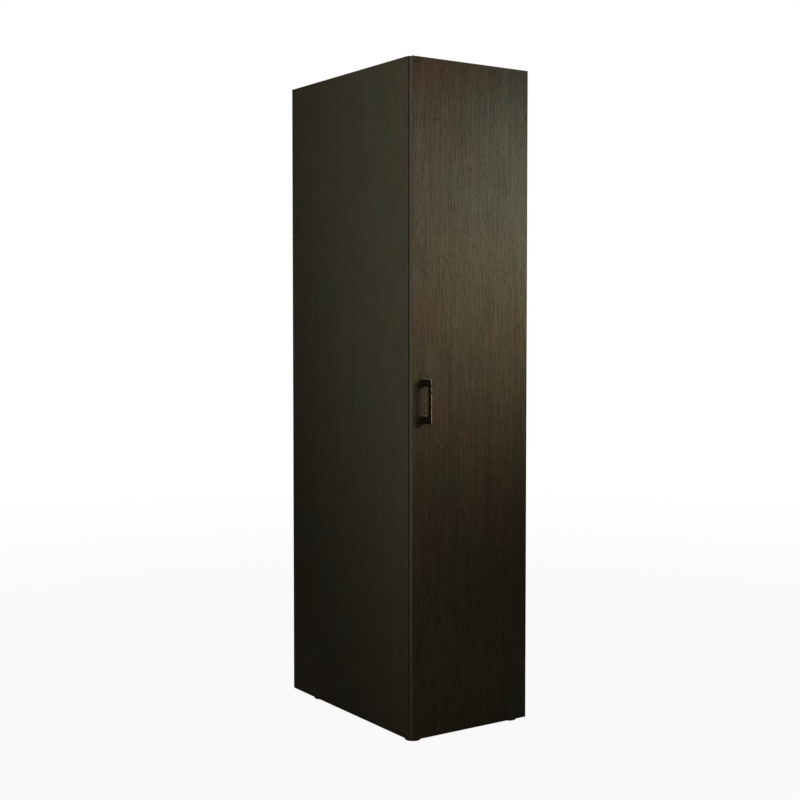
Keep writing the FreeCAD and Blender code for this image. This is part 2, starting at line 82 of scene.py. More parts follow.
# The layers of the print: spacing across the grain and length along it in mm, and the noise values it spans.
# Real lines are about 1.5 mm apart and real pores 0.3 mm wide: both are drawn coarser, so that they show.
wengeLayers = {
    "lines": {"spacing": 2.9, "length": 150, "detail": 3, "seedStep": 0, "tone": (0.32, 0.68)},
    "bands": {"spacing": 30, "length": 1500, "detail": 2, "seedStep": 5, "tone": (0.3, 0.7)},
    "pores": {"spacing": 2.3, "length": 15, "detail": 1, "seedStep": 9, "tone": (0.55, 0.75)},
    # patches where the press left the surface a little duller
    "clouds": {"spacing": 110, "length": 110, "detail": 3, "seedStep": 13, "tone": (0.3, 0.7)},
    # patches where the print is a little warmer or cooler
    "drift": {"spacing": 230, "length": 230, "detail": 1, "seedStep": 21, "tone": (0.38, 0.62)},
}
laminate = {
    "noiseRoughness": 0.6,
    "cloudShade": (0.93, 1.13),
    "warmPrint": "#fff9f9",
    "coolPrint": "#f3fdfd",
    "lineDepth": 1.0,            # mm, both depths are larger than real ones, so that they show
    "poreDepth": 0.85,
    "poreRoughness": 0.25,       # added in a pore
    "roughness": (0.42, 0.58),
    "ior": 1.45,
}
doorWood = {
    "early": "#3d372a",
    "late": "#2a261c",
    "pore": "#231f17",
    "bandShare": 0.3,
    "gloss": 0.02,
    # the seeds set where the drift's cooler print and the clouds' lighter patches fall on the door: random
    # print tone, chosen so that it also stands in for a cool highlight on the upper right, a painted
    # highlight
    "seeds": {"clouds": 101.6, "drift": 72.7},
    # painted warm light: the door is tinted more red round one place near its top: mm, and shares of red,
    # green and blue
    "paintedWarmLightPatch": {"middle": (-120, 2006), "reach": (400, 150), "core": 0.3, "shares": (1.18, 0.92, 0.87)},
}
carcassWood = {"early": "#363125", "late": "#2e2a1f", "pore": "#28241a", "bandShare": 0.3, "gloss": 0.008}
edgeWood = {"early": "#403a2f", "late": "#332e25", "pore": "#2a261e", "bandShare": 0.3, "gloss": 0.02}

# The rear edge of a carcass board is cut and never banded: pale matt chips show there
chipboard = {
    "pale": "#b2946a",
    "dark": "#7f6340",
    "chipSize": 3.2,             # mm
    "roughness": 0.85,
    "facing": 0.92,              # a face is raw where it looks more squarely to the rear than this
}


def grainTone(tree, place, look, along, seed):
    # noise drawn out along the grain, spread to a tone from 0 to 1
    across, lengthwise = 1 / (look["spacing"] * mm), 1 / (look["length"] * mm)
    stretched = addNode(tree, "Mapping", {
        "Vector": place,
        "Scale": [lengthwise if axis == along else across for axis in "XYZ"],
        "Location": (seed, seed, seed)})["Vector"]
    figure = addNode(tree, "TexNoise", {
        "Vector": stretched, "Scale": 1.0,
        "Detail": look["detail"], "Roughness": laminate["noiseRoughness"]})["Fac"]
    low, high = look["tone"]
    return addNode(tree, "MapRange", {"Value": figure, "From Min": low, "From Max": high})["Result"]


def paintWarmLight(tree, place, patch, colour):
    # painted warm light: the colour with the patch's shares in its core, fading to none at its reach
    (x, z), (wide, tall) = patch["middle"], patch["reach"]
    offset = addNode(tree, "Mapping", {
        "Vector": place,
        "Scale": (1 / (wide * mm), 0, 1 / (tall * mm)),
        "Location": (-x / wide, 0, -z / tall)})["Vector"]
    distance = addNode(tree, "VectorMath", {"Vector": offset}, operation="LENGTH")["Value"]
    near = addNode(tree, "MapRange", {
        "Value": distance, "From Min": patch["core"], "From Max": 1.0,
        "To Min": 1.0, "To Max": 0.0})["Result"]
    warmLit = addNode(tree, "VectorMath", {
        "Vector": colour, "Vector_001": patch["shares"]}, operation="MULTIPLY")["Vector"]
    return addNode(tree, "Mix", {
        "Factor_Float": near, "A_Color": colour, "B_Color": warmLit}, data_type="RGBA")["Result_Color"]


def woodLaminate(name, wood, along, seed, rawRear=False):
    material, tree = newMaterial(name)
    coordinates = addNode(tree, "TexCoord")
    place = coordinates["Object"]
    tones = {}
    for layer, look in wengeLayers.items():
        start = wood.get("seeds", {}).get(layer, seed + look["seedStep"])
        tones[layer] = grainTone(tree, place, look, along, start)

    tone = addNode(tree, "Mix", {
        "Factor_Float": wood["bandShare"],
        "A_Float": tones["lines"],
        "B_Float": tones["bands"]})["Result_Float"]
    colour = addNode(tree, "Mix", {
        "Factor_Float": tone,
        "A_Color": linearColour(wood["late"]),
        "B_Color": linearColour(wood["early"])}, data_type="RGBA")["Result_Color"]
    colour = addNode(tree, "Mix", {
        "Factor_Float": tones["pores"], "A_Color": colour, "B_Color": linearColour(wood["pore"])},
        data_type="RGBA")["Result_Color"]
    tint = addNode(tree, "Mix", {
        "Factor_Float": tones["drift"],
        "A_Color": linearColour(laminate["coolPrint"]),
        "B_Color": linearColour(laminate["warmPrint"])}, data_type="RGBA")["Result_Color"]
    colour = addNode(tree, "Mix", {
        "Factor_Float": 1.0, "A_Color": colour, "B_Color": tint},
        data_type="RGBA", blend_type="MULTIPLY")["Result_Color"]
    # painted warm light near the door's top
    if "paintedWarmLightPatch" in wood:
        colour = paintWarmLight(tree, place, wood["paintedWarmLightPatch"], colour)
    low, high = laminate["cloudShade"]
    shade = addNode(tree, "MapRange", {"Value": tones["clouds"], "To Min": low, "To Max": high})["Result"]
    colour = addNode(tree, "VectorMath", {"Vector": colour, "Scale": shade}, operation="SCALE")["Vector"]

    low, high = laminate["roughness"]
    rough = addNode(tree, "MapRange", {"Value": tones["clouds"], "To Min": low, "To Max": high})["Result"]
    rough = addNode(tree, "Math", {
        "Value": tones["pores"], "Value_001": laminate["poreRoughness"], "Value_002": rough},
        operation="MULTIPLY_ADD")["Value"]

    relief = addNode(tree, "Math", {
        "Value": tones["lines"], "Value_001": laminate["lineDepth"] / laminate["poreDepth"]},
        operation="MULTIPLY")["Value"]
    relief = addNode(tree, "Math", {
        "Value": relief, "Value_001": tones["pores"]}, operation="SUBTRACT")["Value"]
    pressed = addNode(tree, "Bump", {
        "Height": relief, "Strength": 1.0, "Distance": laminate["poreDepth"] * mm})["Normal"]

    if rawRear:
        facing = addNode(tree, "SeparateXYZ", {"Vector": coordinates["Normal"]})["Y"]
        raw = addNode(tree, "Math", {
            "Value": facing, "Value_001": chipboard["facing"]}, operation="GREATER_THAN")["Value"]
        chips = addNode(tree, "TexVoronoi", {
            "Vector": place, "Scale": 1 / (chipboard["chipSize"] * mm)})["Color"]
        chipTone = addNode(tree, "SeparateColor", {"Color": chips})["Red"]
        chipColour = addNode(tree, "Mix", {
            "Factor_Float": chipTone,
            "A_Color": linearColour(chipboard["dark"]),
            "B_Color": linearColour(chipboard["pale"])}, data_type="RGBA")["Result_Color"]
        colour = addNode(tree, "Mix", {
            "Factor_Float": raw, "A_Color": colour, "B_Color": chipColour},
            data_type="RGBA")["Result_Color"]
        rough = addNode(tree, "Mix", {
            "Factor_Float": raw, "A_Float": rough, "B_Float": chipboard["roughness"]})["Result_Float"]

    surface = addNode(tree, "BsdfPrincipled", {
        "Base Color": colour, "Roughness": rough, "Normal": pressed,
        "IOR": laminate["ior"], "Specular IOR Level": wood["gloss"]})["BSDF"]
    addNode(tree, "OutputMaterial", {"Surface": surface})
    return material


# Hardboard back: dark like the boards on its printed inside, plain brown matt fibre with a fine fleck behind

hardboard = {
    "print": {"spacing": 2.9, "length": 150, "detail": 3, "tone": (0.3, 0.7)},
    "printSeed": 31,
    "fibrePale": "#846747",
    "fibreDark": "#5c4631",
    "fibreSize": 1.8,            # mm, real fibres are finer: coarser, so that they show
    "fibreDetail": 4.0,
    "fibreTone": (0.3, 0.7),
    "fibreDepth": 0.2,           # mm
    "fibreStrength": 0.5,
    "roughness": (0.5, 0.8),     # printed side, rear
    "facing": 0.5,               # a face is unprinted where it looks more squarely to the rear than this
    "gloss": 0.2,
}


def pressedHardboard():
    material, tree = newMaterial("pressedHardboard")
    coordinates = addNode(tree, "TexCoord")
    place = coordinates["Object"]
    lines = grainTone(tree, place, hardboard["print"], "Z", hardboard["printSeed"])
    printed = addNode(tree, "Mix", {
        "Factor_Float": lines,
        "A_Color": linearColour(carcassWood["late"]),
        "B_Color": linearColour(carcassWood["early"])}, data_type="RGBA")["Result_Color"]
    fibres = addNode(tree, "TexNoise", {
        "Vector": place,
        "Scale": 1 / (hardboard["fibreSize"] * mm),
        "Detail": hardboard["fibreDetail"]})["Fac"]
    low, high = hardboard["fibreTone"]
    fleck = addNode(tree, "MapRange", {"Value": fibres, "From Min": low, "From Max": high})["Result"]
    plain = addNode(tree, "Mix", {
        "Factor_Float": fleck,
        "A_Color": linearColour(hardboard["fibreDark"]),
        "B_Color": linearColour(hardboard["fibrePale"])}, data_type="RGBA")["Result_Color"]
    facing = addNode(tree, "SeparateXYZ", {"Vector": coordinates["Normal"]})["Y"]
    rear = addNode(tree, "Math", {
        "Value": facing, "Value_001": hardboard["facing"]}, operation="GREATER_THAN")["Value"]
    colour = addNode(tree, "Mix", {
        "Factor_Float": rear, "A_Color": printed, "B_Color": plain}, data_type="RGBA")["Result_Color"]
    printRough, rearRough = hardboard["roughness"]
    rough = addNode(tree, "Mix", {
        "Factor_Float": rear, "A_Float": printRough, "B_Float": rearRough})["Result_Float"]
    rise = addNode(tree, "Bump", {
        "Height": fibres,
        "Strength": hardboard["fibreStrength"],
        "Distance": hardboard["fibreDepth"] * mm})["Normal"]
    surface = addNode(tree, "BsdfPrincipled", {
        "Base Color": colour, "Roughness": rough, "Normal": rise,
        "Specular IOR Level": hardboard["gloss"]})["BSDF"]
    addNode(tree, "OutputMaterial", {"Surface": surface})
    return material


# Die-cast zinc, plated and patinated to antique bronze: near black. Bright dashes along the front edge
# nearer the hinges and along the top are partly wear, where hands slide over it, and partly a painted
# highlight on the edges turned to the lamps

antiqueBronze = {
    "patina": "#080503",
    "patinaLight": "#18100c",
    # colour of the wear and painted highlight
    "wornAndHighlit": "#d6cbb0",
    "mottleSize": 6,             # mm
    "mottleDetail": 4.0,
    "mottleTone": (0.4, 0.7),
    "wornAndHighlitSize": 5,                # mm, length of the bright dashes along an edge
    "wornAndHighlitDetail": 2.0,
    "wornAndHighlitShare": (0.34, 0.55),
    "wornAndHighlitAxes": {"X": 1.0, "Z": 0.3},          # the top gets less wear and painted highlight than the front edge
    "turnedOut": (0.15, 0.5, 0.85, 0.98),        # where a worn and painted-highlight edge starts and ends, as it turns outwards
    "roughTone": (0.3, 0.7),
    "roughness": (0.35, 0.5),
    "castDepth": 0.25,           # mm
    "castStrength": 0.6,
    "gloss": 0.01,
}


def castAntiqueBronze():
    look = antiqueBronze
    material, tree = newMaterial("castAntiqueBronze")
    coordinates = addNode(tree, "TexCoord")
    place = coordinates["Object"]
    mottle = addNode(tree, "TexNoise", {
        "Vector": place, "Scale": 1 / (look["mottleSize"] * mm), "Detail": look["mottleDetail"]})["Fac"]
    wornAndHighlitNoise = addNode(tree, "TexNoise", {
        "Vector": place, "Scale": 1 / (look["wornAndHighlitSize"] * mm), "Detail": look["wornAndHighlitDetail"]})["Fac"]
    facing = addNode(tree, "SeparateXYZ", {"Vector": coordinates["Normal"]})
    begin, full, fade, over = look["turnedOut"]
    edges = []
    for axis, share in look["wornAndHighlitAxes"].items():
        rise = addNode(tree, "MapRange", {
            "Value": facing[axis], "From Min": begin, "From Max": full})["Result"]
        fall = addNode(tree, "MapRange", {
            "Value": facing[axis], "From Min": fade, "From Max": over,
            "To Min": share, "To Max": 0.0})["Result"]
        edges.append(addNode(tree, "Math", {
            "Value": rise, "Value_001": fall}, operation="MULTIPLY")["Value"])
    front, top = edges
    edge = addNode(tree, "Math", {"Value": front, "Value_001": top}, operation="MAXIMUM")["Value"]
    low, high = look["wornAndHighlitShare"]
    dashes = addNode(tree, "MapRange", {"Value": wornAndHighlitNoise, "From Min": low, "From Max": high})["Result"]
    # wear and painted highlight: bright dashes on the edges turned right, towards the hinges and the lamps,
    # and up
    wornAndHighlit = addNode(tree, "Math", {"Value": edge, "Value_001": dashes}, operation="MULTIPLY")["Value"]
    low, high = look["mottleTone"]
    tone = addNode(tree, "MapRange", {"Value": mottle, "From Min": low, "From Max": high})["Result"]
    patina = addNode(tree, "Mix", {
        "Factor_Float": tone,
        "A_Color": linearColour(look["patina"]),
        "B_Color": linearColour(look["patinaLight"])}, data_type="RGBA")["Result_Color"]
    colour = addNode(tree, "Mix", {
        "Factor_Float": wornAndHighlit, "A_Color": patina, "B_Color": linearColour(look["wornAndHighlit"])},
        data_type="RGBA")["Result_Color"]
    low, high = look["roughTone"]
    smoothest, roughest = look["roughness"]
    rough = addNode(tree, "MapRange", {
        "Value": mottle, "From Min": low, "From Max": high,
        "To Min": smoothest, "To Max": roughest})["Result"]
    cast = addNode(tree, "Bump", {
        "Height": mottle, "Strength": look["castStrength"], "Distance": look["castDepth"] * mm})["Normal"]
    surface = addNode(tree, "BsdfPrincipled", {
        "Base Color": colour, "Metallic": wornAndHighlit, "Roughness": rough, "Normal": cast,
        "Specular IOR Level": look["gloss"]})["BSDF"]
    addNode(tree, "OutputMaterial", {"Surface": surface})
    return material


# Plated steels, rolled and then plated: the cloudy plate softens their shine.
# Zinc is a pale cool grey, and the bronze plate of the hinges a dark warm brown.

bronzePlate = {
    "dark": "#2b2119",
    "pale": "#4a3a2b",
    "cloudSize": 9,              # mm
    "roughness": (0.28, 0.42),
    "metallic": 0.9,
}
zincPlate = {
    "dark": "#7d8083",
    "pale": "#a2a5a8",
    "cloudSize": 12,             # mm
    "roughness": (0.25, 0.4),
    "metallic": 1.0,
}
rolledSteel = {
    "cloudDetail": 3.0,
    "cloudTone": (0.3, 0.7),
    "scuffSize": 0.6,            # mm
    "scuffDetail": 2.0,
    "scuffDepth": 0.05,          # mm
    "scuffStrength": 0.15,
}


def platedSteel(name, plate):
    material, tree = newMaterial(name)
    place = addNode(tree, "TexCoord")["Object"]
    clouds = addNode(tree, "TexNoise", {
        "Vector": place,
        "Scale": 1 / (plate["cloudSize"] * mm),
        "Detail": rolledSteel["cloudDetail"]})["Fac"]
    scuffs = addNode(tree, "TexNoise", {
        "Vector": place,
        "Scale": 1 / (rolledSteel["scuffSize"] * mm),
        "Detail": rolledSteel["scuffDetail"]})["Fac"]
    low, high = rolledSteel["cloudTone"]
    smoothest, roughest = plate["roughness"]
    tone = addNode(tree, "MapRange", {"Value": clouds, "From Min": low, "From Max": high})["Result"]
    rough = addNode(tree, "MapRange", {
        "Value": clouds, "From Min": low, "From Max": high,
        "To Min": smoothest, "To Max": roughest})["Result"]
    colour = addNode(tree, "Mix", {
        "Factor_Float": tone,
        "A_Color": linearColour(plate["dark"]),
        "B_Color": linearColour(plate["pale"])}, data_type="RGBA")["Result_Color"]
    rolled = addNode(tree, "Bump", {
        "Height": scuffs,
        "Strength": rolledSteel["scuffStrength"],
        "Distance": rolledSteel["scuffDepth"] * mm})["Normal"]
    surface = addNode(tree, "BsdfPrincipled", {
        "Base Color": colour, "Metallic": plate["metallic"], "Roughness": rough, "Normal": rolled})["BSDF"]
    addNode(tree, "OutputMaterial", {"Surface": surface})
    return material


# Plastics: a fine spark-eroded texture from the mould keeps them from shining.
# ABS is dark brown and satin, polypropylene black and dull, and polyurethane a clear grey.

brownAbs = {"dark": "#1c130c", "pale": "#271b12", "roughness": (0.4, 0.5), "ior": 1.54, "gloss": 0.3}
blackPolypropylene = {
    "dark": "#060606",
    "pale": "#0c0c0d",
    "roughness": (0.4, 0.55),
    "ior": 1.49,
    "gloss": 0.02,
}
clearPolyurethane = {
    "dark": "#c9ccc6",
    "pale": "#d8dad6",
    "roughness": (0.15, 0.25),
    "ior": 1.5,
    "gloss": 0.5,
    "transmission": 0.7,
}
mouldSkin = {
    "smudgeSize": 14,            # mm
    "smudgeDetail": 3.0,
    "smudgeTone": (0.35, 0.65),
    "roughTone": (0.3, 0.7),
    "erodedSize": 0.8,           # mm
    "erodedDetail": 2.0,
    "erodedDepth": 0.1,          # mm
    "erodedStrength": 0.3,
}


def mouldedPlastic(name, plastic):
    material, tree = newMaterial(name)
    place = addNode(tree, "TexCoord")["Object"]
    eroded = addNode(tree, "TexNoise", {
        "Vector": place,
        "Scale": 1 / (mouldSkin["erodedSize"] * mm),
        "Detail": mouldSkin["erodedDetail"]})["Fac"]
    smudges = addNode(tree, "TexNoise", {
        "Vector": place,
        "Scale": 1 / (mouldSkin["smudgeSize"] * mm),
        "Detail": mouldSkin["smudgeDetail"]})["Fac"]
    low, high = mouldSkin["smudgeTone"]
    tone = addNode(tree, "MapRange", {"Value": smudges, "From Min": low, "From Max": high})["Result"]
    colour = addNode(tree, "Mix", {
        "Factor_Float": tone,
        "A_Color": linearColour(plastic["dark"]),
        "B_Color": linearColour(plastic["pale"])}, data_type="RGBA")["Result_Color"]
    low, high = mouldSkin["roughTone"]
    smoothest, roughest = plastic["roughness"]
    rough = addNode(tree, "MapRange", {
        "Value": smudges, "From Min": low, "From Max": high,
        "To Min": smoothest, "To Max": roughest})["Result"]
    skin = addNode(tree, "Bump", {
        "Height": eroded,
        "Strength": mouldSkin["erodedStrength"],
        "Distance": mouldSkin["erodedDepth"] * mm})["Normal"]
    surface = addNode(tree, "BsdfPrincipled", {
        "Base Color": colour, "Roughness": rough, "Normal": skin,
        "IOR": plastic["ior"], "Specular IOR Level": plastic["gloss"],
        "Transmission Weight": plastic.get("transmission", 0.0)})["BSDF"]
    addNode(tree, "OutputMaterial", {"Surface": surface})
    return material


materials = {
    "door": woodLaminate("wengeLaminateDoor", doorWood, along="Z", seed=3),
    "leftSide": woodLaminate("wengeLaminateLeft", carcassWood, along="Z", seed=17, rawRear=True),
    "rightSide": woodLaminate("wengeLaminateRight", carcassWood, along="Z", seed=29, rawRear=True),
    "level": woodLaminate("wengeLaminateLevel", carcassWood, along="X", seed=41, rawRear=True),
    "uprightStrip": woodLaminate("absEdgingUpright", edgeWood, along="Z", seed=53),
    "levelStrip": woodLaminate("absEdgingLevel", edgeWood, along="X", seed=61),
    "back": pressedHardboard(),
    "handle": castAntiqueBronze(),
    "hinge": platedSteel("bronzePlatedSteel", bronzePlate),
    "zinc": platedSteel("zincPlatedSteel", zincPlate),
    "catch": mouldedPlastic("mouldedBrownAbs", brownAbs),
    "bumper": mouldedPlastic("castPolyurethane", clearPolyurethane),
    "foot": mouldedPlastic("mouldedPolypropylene", blackPolypropylene),
}
print("materials made:", len(materials))

nodeMaterials = {
    "door": "door",
    "left_side": "leftSide",
    "right_side": "rightSide",
    "top_panel": "level",
    "bottom_panel": "level",
    "fixed_shelf": "level",
    "back_panel": "back",
    "left_side_edging": "uprightStrip",
    "right_side_edging": "uprightStrip",
    "door_edging_sides": "uprightStrip",
    "door_edging_ends": "levelStrip",
    "cross_edging": "levelStrip",
    "shelf_edging": "levelStrip",
    "catch_housing": "catch",
    "catch_pole_plates": "zinc",
    "strike_plate": "zinc",
    "wall_bracket": "zinc",
}
for number in range(1, 5):
    nodeMaterials[f"adjustable_shelf_{number}"] = "level"
    nodeMaterials[f"shelf_supports_{number}"] = "zinc"
for number in range(1, 4):
    for part in ("side_leaf", "door_leaf", "pin"):
        nodeMaterials[f"hinge_{part}_{number}"] = "hinge"


# Arrises that hands, tools or rollers have broken, in mm
brokenArris = {
    "door": 0.15,
    "door_edging_sides": 0.8,
    "door_edging_ends": 0.5,
    "left_side": 0.3,
    "right_side": 0.3,
    "left_side_edging": 0.4,
    "right_side_edging": 0.4,
    "top_panel": 0.2,
    "bottom_panel": 0.2,
    "wall_bracket": 0.4,
    "catch_housing": 0.4,
    "strike_plate": 0.3,
}
arrisCut = {
    "joinWithin": 0.01,          # mm
    "segments": 2,
    "sharpFrom": 40,             # degrees between two faces
}


def dressNodes():
    for name, key in nodeMaterials.items():
        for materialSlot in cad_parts[name].material_slots:
            materialSlot.material = materials[key]
    for name, width in brokenArris.items():
        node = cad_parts[name]
        weld = node.modifiers.new("joinCorners", "WELD")
        weld.merge_threshold = arrisCut["joinWithin"] * mm
        arris = node.modifiers.new("breakArris", "BEVEL")
        arris.width = width * mm
        arris.segments = arrisCut["segments"]
        arris.limit_method = "ANGLE"
        arris.angle_limit = math.radians(arrisCut["sharpFrom"])
        arris.harden_normals = True


# Meshes for the pieces that are made here

def newPiece(name, mesh, body, material, materialSlot, stands=()):
    piece = bpy.data.objects.new(name, mesh)
    scene.collection.objects.link(piece)
    mesh.materials.clear()
    mesh.materials.append(materials[material])
    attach(piece, body)
    if stands:
        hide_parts(*stands)
    return piece


def meshFrom(name, shape):
    mesh = bpy.data.meshes.new(name)
    shape.to_mesh(mesh)
    shape.free()
    return mesh


def finishedMesh(mesh, modifiers):
    # the mesh after a list of modifiers, each given as (kind, settings)
    maker = bpy.data.objects.new("maker", mesh)
    scene.collection.objects.link(maker)
    for kind, settings in modifiers:
        modifier = maker.modifiers.new(kind.lower(), kind)
        for name, value in settings.items():
            setattr(modifier, name, value)
    bpy.context.view_layer.update()
    made = bpy.data.meshes.new_from_object(maker.evaluated_get(bpy.context.evaluated_depsgraph_get()))
    bpy.data.objects.remove(maker)
    return made


def smooth(mesh, degrees):
    # smooth shading, with edges kept sharp where two faces turn by more than this
    for face in mesh.polygons:
        face.use_smooth = True
    mesh.set_sharp_from_angle(angle=math.radians(degrees))
    return mesh


def turned(profile, steps, joinWithin=0.001):
    # a half outline of (radius, height) points in mm, turned about the Z axis
    shape = bmesh.new()
    points = [shape.verts.new((radius * mm, 0, height * mm)) for radius, height in profile]
    edges = [shape.edges.new(pair) for pair in zip(points, points[1:])]
    bmesh.ops.spin(shape, geom=points + edges, cent=(0, 0, 0), axis=(0, 0, 1), angle=math.tau, steps=steps)
    bmesh.ops.remove_doubles(shape, verts=shape.verts, dist=joinWithin * mm)
    bmesh.ops.recalc_face_normals(shape, faces=shape.faces)
    return meshFrom("turned", shape)


def prism(name, outline, travel):
    # a flat outline of (x, y, z) points, pushed along the travel, all in mm
    shape = bmesh.new()
    face = shape.faces.new([shape.verts.new([value * mm for value in point]) for point in outline])
    grown = bmesh.ops.extrude_face_region(shape, geom=[face])
    moved = [part for part in grown["geom"] if isinstance(part, bmesh.types.BMVert)]
    bmesh.ops.translate(shape, verts=moved, vec=[value * mm for value in travel])
    bmesh.ops.recalc_face_normals(shape, faces=shape.faces)
    return meshFrom(name, shape)


def dome(radius, base, top, step, count):
    # (radius, height) points in mm from a dome's rim upwards, one every so many degrees
    turns = [math.radians(step * number) for number in range(count)]
    return [(radius * math.cos(turn), base + (top - base) * math.sin(turn)) for turn in turns]


def copied(name, mesh, places):
    # one mesh that holds a copy at each (place, direction), the mesh's own +Z along the direction
    shape = bmesh.new()
    for place, direction in places:
        turn = Vector(direction).to_track_quat("Z", "Y").to_matrix().to_4x4()
        copy = mesh.copy()
        copy.transform(Matrix.Translation(place) @ turn)
        shape.from_mesh(copy)
        bpy.data.meshes.remove(copy)
    return meshFrom(name, shape)


# Screws with a cross recess, their sizes in mm: the rim is the straight side under the domed top

screwKinds = {
    "countersunk": {"diameter": 6.2, "rise": 0.25, "rim": 0.1, "slot": 0.9, "reach": 3.4, "depth": 1.0},
    "pan": {"diameter": 5.6, "rise": 1.5, "rim": 0.6, "slot": 0.9, "reach": 3.0, "depth": 1.1},
    "small": {"diameter": 3.6, "rise": 0.2, "rim": 0.1, "slot": 0.6, "reach": 2.2, "depth": 0.6},
    "machine": {"diameter": 8.0, "rise": 2.4, "rim": 1.1, "slot": 1.1, "reach": 4.4, "depth": 1.6},
    "wood": {"diameter": 8.0, "rise": 2.0, "rim": 0.6, "slot": 1.2, "reach": 4.6, "depth": 1.5},
}
screwMake = {
    "steps": 32,                 # round the head
    "domeStep": 15,              # degrees
    "domePoints": 6,
    "sunk": 0.4,                 # mm of the head under its seat
    "recessFloor": -0.3,         # mm from the seat, where the deepest recess ends
    "cutAbove": 1,               # mm over the head, where the tool that cuts the recess ends
    "joinWithin": 0.02,          # mm
    "smoothUpTo": 35,            # degrees
}
zincPlated = ("zinc", "zinc_steel")
bronzePlated = ("hinge", "hinge_steel")


def crossPrism(reach, slot, low, high):
    # the recess as one cross-shaped prism, its sizes in mm
    far, near = reach / 2, slot / 2
    corner = [(far, -near), (far, near), (near, near)]
    outline = []
    for quarter in range(4):
        turn = Matrix.Rotation(math.radians(90 * quarter), 2)
        outline += [(*(turn @ Vector(point)), low) for point in corner]
    return prism("cross", outline, (0, 0, high - low))


def screwHead(kind):
    look, sunk = screwKinds[kind], screwMake["sunk"]
    radius, rise = look["diameter"] / 2, look["rise"]
    arc = dome(radius, look["rim"], rise, screwMake["domeStep"], screwMake["domePoints"])
    head = turned([(0, -sunk), (radius, -sunk), (radius, 0)] + arc + [(0, rise)], screwMake["steps"])
    low = max(rise - look["depth"], screwMake["recessFloor"])
    cross = crossPrism(look["reach"], look["slot"], low, rise + screwMake["cutAbove"])
    tool = bpy.data.objects.new("crossTool", cross)
    scene.collection.objects.link(tool)
    head = finishedMesh(head, [
        ("BOOLEAN", {"object": tool, "operation": "DIFFERENCE", "solver": "EXACT"}),
        ("WELD", {"merge_threshold": screwMake["joinWithin"] * mm}),
    ])
    bpy.data.objects.remove(tool)
    return smooth(head, screwMake["smoothUpTo"])


def addScrews(name, kind, places, body, finish, stands=()):
    newPiece(name, copied(name, screwHead(kind), places), body, *finish, stands)


hingeScrews = {
    "rise": (-26, 0, 26),        # mm from the hinge's middle
    "sideInset": 8,              # mm from the carcass's outer face
    "doorInset": 8,              # mm from the door's edge
}


def addHingeScrews():
    sidePlaces, doorPlaces = [], []
    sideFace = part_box("right_side_edging")[0].y
    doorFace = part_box("door")[1].y
    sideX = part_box("right_side")[1].x - hingeScrews["sideInset"] * mm
    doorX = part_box("door_edging_sides")[1].x - hingeScrews["doorInset"] * mm
    for number in range(1, 4):
        low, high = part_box(f"hinge_side_leaf_{number}")
        middle = (low.z + high.z) / 2
        for rise in hingeScrews["rise"]:
            sidePlaces.append(((sideX, sideFace, middle + rise * mm), (0, -1, 0)))
            doorPlaces.append(((doorX, doorFace, middle + rise * mm), (0, 1, 0)))
    addScrews("hingeSideScrews", "countersunk", sidePlaces, "cabinet", bronzePlated)
    addScrews("hingeDoorScrews", "countersunk", doorPlaces, "door", bronzePlated)


supportScrews = {
    "drop": 8,                   # mm below the shelf
    "inset": 6,                  # mm from a support's end
    "plate": 2,                  # mm, thickness of a support
}


def addSupportScrews():
    places = []
    inset = supportScrews["inset"] * mm
    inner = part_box("right_side")[0].x - supportScrews["plate"] * mm
    for number in range(1, 5):
        low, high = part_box(f"shelf_supports_{number}")
        for y in (low.y + inset, high.y - inset):
            for sign in (-1, 1):
                places.append(((sign * inner, y, high.z - supportScrews["drop"] * mm), (-sign, 0, 0)))
    addScrews("supportScrews", "pan", places, "cabinet", zincPlated)


catchScrews = {
    "ear": 3,                    # mm, thickness of the housing's ears under the shelf
    "earInset": 3.5,             # mm from the housing's end
    "strikeInset": 2.4,          # mm from the strike plate's end
}


def addCatchScrews():
    low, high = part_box("catch_housing")
    middle, seat = (low.y + high.y) / 2, high.z - catchScrews["ear"] * mm
    inset = catchScrews["earInset"] * mm
    places = [((x, middle, seat), (0, 0, -1)) for x in (low.x + inset, high.x - inset)]
    addScrews("catchScrews", "pan", places, "cabinet", zincPlated)
    low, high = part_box("strike_plate")
    middle, inset = (low.z + high.z) / 2, catchScrews["strikeInset"] * mm
    places = [((x, high.y, middle), (0, 1, 0)) for x in (low.x + inset, high.x - inset)]
    addScrews("strikeScrews", "small", places, "door", zincPlated)


def addHandleScrews():
    low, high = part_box("handle_screws")
    middle = (low + high) / 2
    radius = screwKinds["machine"]["diameter"] / 2 * mm
    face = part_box("door")[1].y
    places = [((middle.x, face, z), (0, 1, 0)) for z in (low.z + radius, high.z - radius)]
    addScrews("handleScrewHeads", "machine", places, "door", zincPlated, ["handle_screws"])


bracketPlate = 2                 # mm, thickness of the wall bracket


def addBracketScrews():
    low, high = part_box("bracket_screws")
    middle = (low + high) / 2
    radius = screwKinds["wood"]["diameter"] / 2 * mm
    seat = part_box("wall_bracket")[0].z + bracketPlate * mm
    places = [((x, middle.y, seat), (0, 0, 1)) for x in (low.x + radius, high.x - radius)]
    addScrews("bracketScrewHeads", "wood", places, "cabinet", zincPlated, ["bracket_screws"])


# Feet: round moulded glides with a nail in a well through the middle. Sizes in mm, heights from the floor.

foot = {
    "well": 7,                   # radius
    "wellTop": 3,
    "wellRim": 0.4,              # broken edge of the well
    "edge": 1.5,                 # rounding at the floor
    "edgeStep": 15,              # degrees
    "edgePoints": 7,
    "taper": 2,
    "steps": 72,
    "smoothUpTo": 35,            # degrees
}
nail = {
    "radius": 4.5,
    "middle": 1.2,
    "shoulderInset": 0.6,
    "shoulder": 1.4,
    "rim": 1.9,
}


